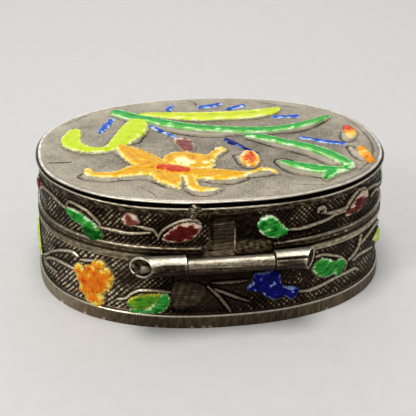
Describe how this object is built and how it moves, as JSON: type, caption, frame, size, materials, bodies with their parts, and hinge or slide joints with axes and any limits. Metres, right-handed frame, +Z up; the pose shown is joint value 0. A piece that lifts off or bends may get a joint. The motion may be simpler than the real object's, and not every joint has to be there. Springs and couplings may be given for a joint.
{
  "type": "pill box",
  "caption": "Small oval silver box with a lid on a rolled-knuckle hinge, its top and walls covered in raised leaves and flowers of coloured enamel.",
  "frame": {"origin": "on the table, under the middle of the oval base", "axes": "+Z up, +X along the oval's length, +Y towards the hinge side"},
  "size_m": [0.046, 0.0381, 0.0174],
  "materials": {
    "silver": "worn, lightly tarnished silver",
    "tarnished_silver": "chased silver, tarnished dark in the ground",
    "green_enamel": "glossy fired enamel",
    "dark_green_enamel": "glossy fired enamel",
    "chartreuse_enamel": "glossy fired enamel",
    "yellow_enamel": "glossy fired enamel",
    "orange_enamel": "glossy fired enamel",
    "red_enamel": "glossy fired enamel",
    "maroon_enamel": "glossy fired enamel",
    "blue_enamel": "glossy fired enamel",
    "dark_blue_enamel": "glossy fired enamel"
  },
  "bodies": {
    "base": {"base_bezel": "silver", "base_flower_blue": "dark_blue_enamel", "base_flower_front": "orange_enamel", "base_flower_front_blue": "dark_blue_enamel", "base_flower_orange": "orange_enamel", "base_foot_band": "silver", "base_knuckle_long": "silver", "base_knuckle_short": "silver", "base_leaf_1": "green_enamel", "base_leaf_2": "tarnished_silver", "base_leaf_3": "green_enamel", "base_leaf_4": "chartreuse_enamel", "base_leaf_5": "chartreuse_enamel", "base_leaf_6": "green_enamel", "base_leaf_7": "chartreuse_enamel", "base_leaf_8": "green_enamel", "base_plate": "silver", "base_rim_band": "silver", "base_wall": "tarnished_silver", "hinge_pin": "silver"},
    "lid": {"lid_bead": "silver", "lid_berry_1": "maroon_enamel", "lid_berry_2": "maroon_enamel", "lid_berry_3": "maroon_enamel", "lid_knuckle": "silver", "lid_leaf_1": "green_enamel", "lid_leaf_1_lobe": "dark_green_enamel", "lid_leaf_2": "maroon_enamel", "lid_leaf_3": "green_enamel", "lid_leaf_4": "maroon_enamel", "lid_leaf_5": "green_enamel", "lid_leaf_6": "maroon_enamel", "lid_leaf_7": "green_enamel", "lid_leaf_8": "green_enamel", "lid_leaf_9": "maroon_enamel", "lid_plate": "silver", "lid_rim_wire": "silver", "lid_wall": "tarnished_silver", "lid_wall_lap": "tarnished_silver", "top_berry_far": "orange_enamel", "top_berry_near": "orange_enamel", "top_berry_red": "orange_enamel", "top_bud": "maroon_enamel", "top_dash_1": "blue_enamel", "top_dash_2": "blue_enamel", "top_dash_3": "blue_enamel", "top_dash_4": "blue_enamel", "top_dash_5": "blue_enamel", "top_dash_6": "blue_enamel", "top_dash_7": "dark_blue_enamel", "top_dash_8": "blue_enamel", "top_flower": "orange_enamel", "top_flower_heart": "red_enamel", "top_leaf_bent": "green_enamel", "top_leaf_curled": "chartreuse_enamel", "top_leaf_lobe": "green_enamel", "top_leaf_long": "green_enamel", "top_leaf_yellow": "yellow_enamel"}
  },
  "joints": [
    {"name": "lid_hinge", "type": "hinge", "parent": "base", "child": "lid", "pos_m": [0, 0.0189, 0.0093], "axis": [-1, 0, 0], "range_deg": [0, 110]}
  ]
}
